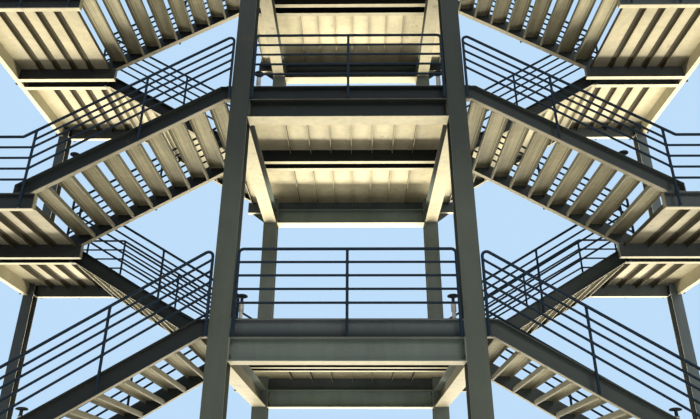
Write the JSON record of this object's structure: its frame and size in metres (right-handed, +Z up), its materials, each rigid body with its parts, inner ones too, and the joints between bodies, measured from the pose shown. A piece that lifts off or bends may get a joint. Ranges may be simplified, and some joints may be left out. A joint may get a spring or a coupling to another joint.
{
  "type": "fire escape stair tower",
  "caption": "Open steel stair tower on H columns, with mirrored pairs of flights between main and mid landings, channel stringers, folded treads and pipe railings.",
  "frame": {"origin": "on the ground at the centre of the tower's plan", "axes": "+X along the tower's length to the right seen from the front, +Y from the front to the rear, +Z up"},
  "size_m": [12.9, 4.332, 11.7688],
  "materials": {
    "frame_paint": "satin",
    "deck_paint": "satin",
    "tread_paint": "satin",
    "railing_paint": "satin",
    "light_housing": "satin"
  },
  "bodies": {
    "root": {"column_front": "frame_paint", "column_rear": "frame_paint", "column_outer_front": "frame_paint", "column_outer_rear": "frame_paint", "landing_1_beams": "frame_paint", "landing_1_channels": "frame_paint", "landing_1_deck": "deck_paint", "landing_1_rails": "railing_paint", "landing_2_beams": "frame_paint", "landing_2_channels": "frame_paint", "landing_2_deck": "deck_paint", "landing_2_rails": "railing_paint", "landing_3_beams": "frame_paint", "landing_3_channels": "frame_paint", "landing_3_deck": "deck_paint", "landing_3_rails": "railing_paint", "mid_landing_1_frame": "frame_paint", "mid_landing_1_deck": "deck_paint", "mid_landing_1_side_rails": "railing_paint", "mid_landing_2_frame": "frame_paint", "mid_landing_2_deck": "deck_paint", "mid_landing_2_side_rails": "railing_paint", "mid_landing_3_frame": "frame_paint", "mid_landing_3_deck": "deck_paint", "mid_landing_3_side_rails": "railing_paint", "front_flight_1_stringers": "frame_paint", "front_flight_1_treads": "tread_paint", "front_flight_1_rails": "railing_paint", "front_flight_2_stringers": "frame_paint", "front_flight_2_treads": "tread_paint", "front_flight_2_rails": "railing_paint", "front_flight_3_stringers": "frame_paint", "front_flight_3_treads": "tread_paint", "front_flight_3_rails": "railing_paint", "rear_flight_1_stringers": "frame_paint", "rear_flight_1_treads": "tread_paint", "rear_flight_1_rails": "railing_paint", "rear_flight_2_stringers": "frame_paint", "rear_flight_2_treads": "tread_paint", "rear_flight_2_rails": "railing_paint", "rear_flight_3_stringers": "frame_paint", "rear_flight_3_treads": "tread_paint", "rear_flight_3_rails": "railing_paint", "step_lights": "light_housing"}
  },
  "joints": []
}
